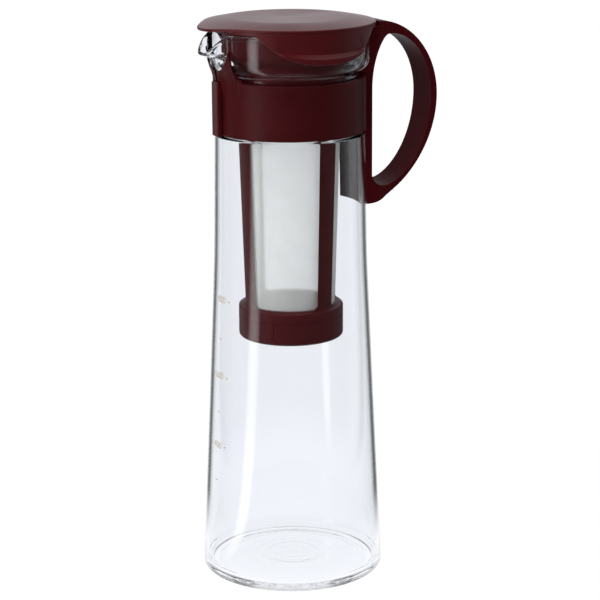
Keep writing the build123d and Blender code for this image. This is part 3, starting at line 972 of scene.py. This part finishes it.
def skirtRings(angles):
    # outer face of the skirt: lobe, slope and lip front, each with its own rows
    s = lidSizes
    top = s["seat"] + s["skirtLap"]
    plan = []
    for a in angles:
        share = lipShare(a)
        foot = lobeFoot(s["skirtOuter"] * math.cos(a)) + s["footRound"]
        bare = min(s["rowGap"], (top - foot) / 4)
        edge = foot + bare + s["lipFace"] * share
        line = min(edge + bare + s["lipSlope"] * share, top - bare)
        plan.append((a, foot, edge, line, smooth(share * s["lipOnset"])))
    rings = []
    for k in range(s["lobeRows"]):
        t = k / s["lobeRows"]
        sunk = s["lipRecess"] * smooth(t * s["recessOnset"])
        rings.append([polar(s["skirtOuter"] - sunk * grow, a, lerp(top, line, t))
                      for a, foot, edge, line, grow in plan])
    for k in range(s["lipRows"]):
        t = k / s["lipRows"]
        proud = lerp(-s["lipRecess"], s["lipProud"], t)
        rings.append([polar(s["skirtOuter"] + proud * grow, a, lerp(line, edge, t))
                      for a, foot, edge, line, grow in plan])
    for k in range(s["lipRows"]):
        t = k / (s["lipRows"] - 1)
        rings.append([polar(s["skirtOuter"] + s["lipProud"] * grow, a, lerp(edge, foot, t))
                      for a, foot, edge, line, grow in plan])
    return rings


def crownRings(angles, reaches):
    # the crown, out to the start of the rounded edge
    s = lidSizes
    rings = []
    for k in range(1, s["crownRows"] + 1):
        share = k / s["crownRows"]
        ring = []
        for a, reach in zip(angles, reaches):
            full = reach - s["edgeRound"]
            near = min(full, s["dishRadius"] + s["nearRun"])
            if share <= s["innerRows"]:
                r = near * (share / s["innerRows"])
            else:
                r = lerp(near, full, (share - s["innerRows"]) / (1 - s["innerRows"]))
            ring.append(polar(r, a, lidTopHeight(r)))
        rings.append(ring)
    return rings


def edgeRings(angles, reaches):
    # rounded above, then a short wall, then rounded below
    s = lidSizes
    above, below = [], []
    for k in range(s["edgeRows"] + 1):
        turn = math.pi / 2 * k / s["edgeRows"]
        out, down = math.sin(turn), 1 - math.cos(turn)
        above.append([polar(reach - s["edgeRound"] * (1 - out), a,
                            lidTopHeight(reach - s["edgeRound"]) - s["edgeRound"] * down)
                      for a, reach in zip(angles, reaches)])
        below.append([polar(reach - s["underRound"] * down, a, lidTopHeight(reach)
                            - s["edgeThickness"] + s["underRound"] * (1 - out))
                      for a, reach in zip(angles, reaches)])
    return above[1:] + below


def makeLid():
    s = lidSizes
    angles = [2 * math.pi * (j + 0.5) / s["columns"] for j in range(s["columns"])]
    reaches = [planReach(a) for a in angles]
    # the underside runs in to the skirt, and the skirt drops to its lower edge
    rows = crownRings(angles, reaches) + edgeRings(angles, reaches) + skirtRings(angles)
    last = [(a, math.hypot(x, y), z) for a, (x, y, z) in zip(angles, rows[-1])]
    for k in range(1, s["footRows"]):
        # the lower edge is rounded over to the inner face
        turn = math.pi * k / s["footRows"]
        rows.append([polar(lerp(s["skirtInner"], out, (1 + math.cos(turn)) / 2), a,
                           foot - s["footRound"] * math.sin(turn)) for a, out, foot in last])
    for k in range(s["wallRows"] + 1):
        rows.append([polar(s["skirtInner"], a, lerp(foot, s["seat"], k / s["wallRows"]))
                     for a, out, foot in last])
    # the seat ring, the hollow up to the skin, and the plug ring
    under = s["top"] - s["skin"]
    seat = s["skirtInner"] - s["seatWidth"]
    hollow = seat - s["seatStep"]
    plugRound = s["plugRound"]
    outRun, outDrop = s["outerRoot"]
    inRun, inDrop = s["innerRoot"]
    plainRings = [
        (seat, s["seat"]), (hollow, s["seat"] + s["seatStep"]),
        (hollow, lidTopHeight(hollow) - s["skin"]),
        (s["plugOuter"] + outRun, under - s["rootDrop"]), (s["plugOuter"], under - outDrop),
        (s["plugOuter"], s["plugFoot"] + plugRound), (s["plugOuter"] - plugRound, s["plugFoot"]),
        (s["plugInner"] + plugRound, s["plugFoot"]), (s["plugInner"], s["plugFoot"] + plugRound),
        (s["plugInner"], under - inDrop), (s["plugInner"] - inRun, under - s["rootDrop"])]
    plainRings += [(r, lidTopHeight(r) - s["skin"]) for r in s["skinRings"]]
    rows += [[polar(r, a, z) for a in angles] for r, z in plainRings]
    obj = gridMesh("lidMoulding", rows)
    cleanNormals(obj)
    shadeSmooth(obj, s["sharpAngle"])
    return dress(obj, lidPlastic, "lid", "lid_plastic", "lid")


makeLid()

# ---- neck band and its clasp

bandSizes = {
    "edgeRound": 0.45,
    "faceRadius": 39.6,
    "top": 266.6,
    "hornRun": 7.0,           # the horns stand out of the band's face only above this height
    "flangeSpace": 4.4,       # half width of the closing flanges and their clasp
}
claspSizes = {
    "edgeRound": 0.35,
    "gateRadius": 0.75,       # the dot left by the mould's gate
    "gateRise": 0.4,
    "gateSink": 0.4,
    "gateHeight": 252.2,
    "gateRings": ((0.96, 0.0), (1.0, 0.3), (0.86, 0.75), (0.55, 0.96), (0.25, 1.0)),
    "gateColumns": 24,
    "sharpAngle": 60.0,
}


def makeBand():
    b = bandSizes
    obj = softCopy("neckBand", "neck_band", b["edgeRound"])
    for vertex in obj.data.vertices:
        x, y, z = vertex.co / mm
        radius = math.hypot(x, y)
        if radius > b["faceRadius"] and abs(y) > b["flangeSpace"] and z < b["top"] + b["hornRun"]:
            share = smooth((z - b["top"]) / b["hornRun"])
            flush = lerp(b["faceRadius"], radius, share) / radius
            vertex.co.x *= flush
            vertex.co.y *= flush
    return dress(obj, bandPlastic, "jug", "band_plastic", "neck_band")


def makeClasp():
    obj = softCopy("bandClasp", "band_clasp", claspSizes["edgeRound"])
    return dress(obj, claspPlastic, "clasp", "clasp_plastic", "band_clasp")


def makeGateMark():
    # a small lens on the clasp's face; its rings are shares of its radius and its rise
    c = claspSizes
    face = nodeSpan("band_clasp")[0].x + c["gateSink"]
    turns = [2 * math.pi * j / c["gateColumns"] for j in range(c["gateColumns"])]
    rows = [[(face - rise * c["gateRise"], c["gateRadius"] * share * math.cos(turn),
              c["gateHeight"] + c["gateRadius"] * share * math.sin(turn)) for turn in turns]
            for share, rise in c["gateRings"]]
    obj = gridMesh("gateMark", rows)
    cleanNormals(obj)
    shadeSmooth(obj, c["sharpAngle"])
    return dress(obj, claspPlastic, "clasp", "clasp_plastic")


makeBand()
makeClasp()
makeGateMark()

# ---- handle

handleSizes = {"edgeRound": 1.5, "edgeSegments": 3, "sharpAngle": 35.0}


def makeHandle():
    h = handleSizes
    obj = softCopy("loopHandle", "handle", h["edgeRound"], h["edgeSegments"], h["sharpAngle"])
    return dress(obj, handlePlastic, "jug", "handle_plastic", "handle")


makeHandle()

# ---- strainer

strainerSizes = {"edgeRound": 0.35, "capRound": 0.3}
sleeveSizes = {
    "thickness": 0.3,
    "taper": 4.0 / 128.0,     # the radius shrinks by this for each millimetre down
    "columns": 180,
    "levels": 40,
    "sharpAngle": 50.0,
}


def makeStrainerFrame():
    obj = softCopy("strainerFrame", "strainer_frame", strainerSizes["edgeRound"])
    return dress(obj, strainerPlastic, "strainer", "strainer_plastic", "strainer_frame")


def makeStrainerCap():
    obj = softCopy("strainerCap", "strainer_cap", strainerSizes["capRound"])
    return dress(obj, capPlastic, "cap", "cap_plastic", "strainer_cap")


def sleeveTree():
    # a flat sheet with its weave map, rolled into the tapered sleeve and closed into a thin wall
    tree, given = newTree("rolledSleeve", {
        **dict.fromkeys(("Foot Radius", "Top Radius", "Foot Height", "Top Height", "Thickness"),
                        "Float"), "Columns": "Int", "Levels": "Int"})
    grid = addNode(tree, "GeometryNodeMeshGrid", {
        "Size X": 1.0, "Size Y": 1.0, "Vertices X": addMath(tree, "ADD", given["Columns"], 1.0),
        "Vertices Y": addMath(tree, "ADD", given["Levels"], 1.0)})
    place = splitVector(tree, addNode(tree, "GeometryNodeInputPosition").outputs[0])

    def spread(value, low, high):
        return addRange(tree, value, low, high, -0.5, 0.5)

    angle = spread(place["X"], 0.0, 2 * math.pi)
    radius = spread(place["Y"], given["Foot Radius"], given["Top Radius"])
    height = spread(place["Y"], given["Foot Height"], given["Top Height"])
    weave = makeVector(tree, addMath(tree, "MULTIPLY", angle, given["Top Radius"]), height)
    mapped = addNode(tree, "GeometryNodeStoreNamedAttribute",
                     {"Geometry": grid.outputs["Mesh"], "Name": "weave", "Value": weave},
                     data_type="FLOAT2", domain="CORNER")
    inward = addMath(tree, "MULTIPLY", given["Thickness"], -1.0)
    sewn = welded(tree, rolled(tree, mapped.outputs[0], radius, angle, height))
    return closeTree(tree, thicken(tree, sewn, inward), meshCloth)


def makeMeshSleeve():
    low, high = nodeSpan("strainer_mesh")
    t = sleeveSizes
    taper = (high.z - low.z) * t["taper"]
    obj = growMesh("meshSleeve", sleeveTree(), {
        "Foot Radius": (high.x - taper) * mm, "Top Radius": high.x * mm,
        "Foot Height": low.z * mm, "Top Height": high.z * mm, "Thickness": t["thickness"] * mm,
        "Columns": t["columns"], "Levels": t["levels"]})
    cleanNormals(obj)
    shadeSmooth(obj, t["sharpAngle"])
    return dress(obj, meshCloth, "strainer", "mesh", "strainer_mesh")


makeStrainerFrame()
makeMeshSleeve()
makeStrainerCap()

# ---- stage: floor, world, lamps and camera

stageLook = {
    "turn": -26.0,             # degrees round the object, for the camera and the cards
    "worldLevel": 0.10,        # light from all round
    "floorHalf": 3000.0,
    "floorColor": (0.55, 0.55, 0.55, 1),
    "floorShare": 0.15,        # how much of the floor's own shading shows
    "floorWhite": 1.07,        # near the object
    "floorGrowth": 1.1,        # further off it is brighter by this
    "growthReach": (200.0, 800.0),
    "whiteReach": (70.0, 150.0),   # glass sees a white floor nearer than this, then the studio
    "glassHalf": 44.0,         # half width of the glass that looks out over the floor
    "backTint": (0.965, 0.98, 1.03),
    "greenCast": 0.12,         # of what lies between a bright card and a dark one
    "frontLevel": 0.045,       # the dim room behind the camera
    "roomEdge": -0.25,         # the cards fade into it between the sides and this
    "stripTurn": 52.0,         # tall soft box, degrees to the left of the camera
    "stripLevel": 2.1,
    "stripEdges": (0.985, 0.999),
    "overheadLevel": 0.7,
    "overheadEdges": (0.2, 0.55),
}
# what stands behind the object, from its left (-1) over straight behind it (0) to its right (1)
backCards = ((-1.0, 0.1), (-0.97, 0.2), (-0.9, 0.6), (-0.75, 0.8), (-0.62, 0.7), (-0.54, 0.2),
             (-0.5, 0.08), (-0.38, 0.08), (-0.31, 0.5), (-0.25, 1.0), (0.25, 1.0), (0.31, 0.5),
             (0.38, 0.08), (0.5, 0.08), (0.58, 0.25), (0.75, 0.3), (1.0, 0.2))
white = (1, 1, 1, 1)


def stageWays():
    # the level ways to the right and ahead, as the camera looks
    turn = math.radians(stageLook["turn"])
    return (Vector((math.cos(turn), math.sin(turn), 0)),
            Vector((-math.sin(turn), math.cos(turn), 0)))


def cardRamp(tree, across):
    # the ramp begins with a stop at each end, and the cards between them get their own
    ramp = addNode(tree, "ShaderNodeValToRGB", {"Fac": across})
    stops = ramp.color_ramp.elements
    for place, _ in backCards[1:-1]:
        stops.new((place + 1) / 2)
    red, green, blue = stageLook["backTint"]
    for stop, (_, value) in zip(stops, backCards):
        cast = 1 + stageLook["greenCast"] * value * (1 - value)
        stop.color = (value * red / cast, value * green, value * blue / cast, 1)
    return ramp.outputs["Color"]


def studioColor(tree, vector):
    # the light that gloss and glass see in that direction: a white wall behind the object, dark
    # cards beside it, and a dim room with one tall soft box in front
    s = stageLook
    right, ahead = stageWays()
    strip = math.radians(s["stripTurn"])
    stripWay = -math.cos(strip) * ahead - math.sin(strip) * right
    level = addVectorMath(tree, "NORMALIZE", addVectorMath(tree, "MULTIPLY", vector, (1, 1, 0)))
    side, depth, toStrip = (addVectorMath(tree, "DOT_PRODUCT", level, way)
                            for way in (right, ahead, stripWay))
    cards = cardRamp(tree, addRange(tree, side, 0, 1, -1, 1))
    glow = addRange(tree, toStrip, 0.0, s["stripLevel"], *s["stripEdges"])
    front = addMath(tree, "ADD", glow, s["frontLevel"])
    return blend(tree, addRange(tree, depth, 0.0, 1.0, s["roomEdge"], 0.0), front, cards)


def fromTheGlass(tree, place):
    # the way to a place on the floor from the glass in front of it, not from the jug's axis
    right, _ = stageWays()
    aside = addVectorMath(tree, "DOT_PRODUCT", place, right)
    nearest = addMath(tree, "MINIMUM", addMath(tree, "ABSOLUTE", aside),
                      stageLook["glassHalf"] * mm)
    offset = addMath(tree, "MULTIPLY", addMath(tree, "SIGN", aside), nearest)
    edge = addNode(tree, "ShaderNodeVectorMath", {0: right, "Scale": offset}, operation="SCALE")
    return addVectorMath(tree, "SUBTRACT", place, edge.outputs[0])


def makeStage():
    s = stageLook
    half = s["floorHalf"]
    floor = gridMesh("floor", [[(x, y, 0) for x in (-half, half)] for y in (-half, half)],
                     closed=False)
    material = bpy.data.materials.new("paleFloor")
    tree = emptyTree(material)
    rays = addNode(tree, "ShaderNodeLightPath").outputs
    place = addNode(tree, "ShaderNodeTexCoord").outputs["Object"]
    reach = addVectorMath(tree, "LENGTH", place)
    # close to the object the floor is white for the glass too
    far = addRange(tree, reach, 0.0, 1.0, *(edge * mm for edge in s["whiteReach"]))
    studio = studioColor(tree, fromTheGlass(tree, place))
    seen = blend(tree, far, (*s["backTint"], 1), studio)
    plain = addRange(tree, reach, s["floorWhite"], s["floorWhite"] * s["floorGrowth"],
                     *(edge * mm for edge in s["growthReach"]))
    glow = addNode(tree, "ShaderNodeEmission",
                   {"Color": blend(tree, rays["Is Camera Ray"], seen, plain)})
    matte = addNode(tree, "ShaderNodeBsdfDiffuse", {"Color": s["floorColor"]})
    through = addMath(tree, "MAXIMUM", rays["Is Glossy Ray"], rays["Is Transmission Ray"])
    direct = addMath(tree, "MULTIPLY", rays["Is Camera Ray"], 1 - s["floorShare"])
    mix = addNode(tree, "ShaderNodeMixShader", {
        "Fac": addMath(tree, "MAXIMUM", through, direct), 1: matte.outputs[0],
        2: glow.outputs[0]})
    addNode(tree, "ShaderNodeOutputMaterial", {"Surface": mix.outputs[0]})
    floor.data.materials.append(material)


def makeWorld():
    # soft light from all round; the camera sees white, and gloss and glass see the studio
    s = stageLook
    world = bpy.data.worlds.new("studio")
    bpy.context.scene.world = world
    tree = emptyTree(world)
    rays = addNode(tree, "ShaderNodeLightPath").outputs
    way = addNode(tree, "ShaderNodeTexCoord").outputs["Generated"]
    overhead = addRange(tree, splitVector(tree, way)["Z"], 0.0, 1.0, *s["overheadEdges"])
    lamp = (s["overheadLevel"],) * 3 + (1,)
    studio = blend(tree, overhead, studioColor(tree, way), lamp)
    light = addNode(tree, "ShaderNodeBackground", {"Color": white, "Strength": s["worldLevel"]})
    backdrop = addNode(tree, "ShaderNodeBackground", {
        "Color": blend(tree, rays["Is Camera Ray"], studio, white), "Strength": 1.0})
    through = addMath(tree, "MAXIMUM", rays["Is Glossy Ray"], rays["Is Transmission Ray"])
    mix = addNode(tree, "ShaderNodeMixShader", {
        "Fac": addMath(tree, "MAXIMUM", rays["Is Camera Ray"], through), 1: light.outputs[0],
        2: backdrop.outputs[0]})
    addNode(tree, "ShaderNodeOutputWorld", {"Surface": mix.outputs[0]})


# place, aim, width and height in metres, and power in watts; the key lamp is a large soft box
# above, and the front lamp shines past the jug onto the inside of the handle
lampLooks = {
    "keyLamp": ((-0.28, -0.08, 1.5), (0, 0, 0.2), (1.3, 1.1), 23.0),
    "fillLamp": ((-0.95, -0.2, 0.5), (0, 0, 0.2), (0.5, 0.8), 8.0),
    "frontLamp": ((-0.7, -0.72, 0.4), (0.05, 0, 0.24), (0.3, 0.5), 4.0),
    "rightLamp": ((0.85, -0.5, 0.4), (0, 0, 0.2), (0.4, 0.8), 4.0),
}


def addLamp(name, place, target, size, power):
    lamp = bpy.data.lights.new(name, "AREA")
    lamp.shape = "RECTANGLE"
    lamp.size, lamp.size_y = size
    lamp.energy = power
    obj = addObject(name, lamp)
    obj.location = place
    obj.rotation_euler = (Vector(target) - Vector(place)).to_track_quat("-Z", "Y").to_euler()
    obj.visible_glossy = False         # gloss and glass see the studio colours instead
    obj.visible_transmission = False


cameraLook = {
    "place": (4.8, -1061.0, 423.0),    # before the stage's turn
    "pitch": 14.60,
    "roll": -0.33,
    "lens": 124.1,
    "sensor": 36.0,
    "clip": (50.0, 50000.0),
}
lightBounces = {"max_bounces": 32, "transmission_bounces": 32, "glossy_bounces": 16}


def makeCamera():
    c = cameraLook
    camera = bpy.data.cameras.new("camera")
    camera.lens = c["lens"]
    camera.sensor_width = c["sensor"]
    camera.clip_start, camera.clip_end = (edge * mm for edge in c["clip"])
    obj = addObject("camera", camera)
    turn = Matrix.Rotation(math.radians(stageLook["turn"]), 4, "Z")
    place = Matrix.Translation(Vector(c["place"]) * mm)
    tilt = Matrix.Rotation(math.radians(90 - c["pitch"]), 4, "X")
    roll = Matrix.Rotation(math.radians(c["roll"]), 4, "Z")
    obj.matrix_world = turn @ place @ tilt @ roll
    bpy.context.scene.camera = obj


makeStage()
makeWorld()
for lampName, lampLook in lampLooks.items():
    addLamp(lampName, *lampLook)
for bounceKind, count in lightBounces.items():
    setattr(bpy.context.scene.cycles, bounceKind, count)
makeCamera()
bpy.context.scene.view_settings.view_transform = "Standard"
print("stage ready")

print("scene ready")
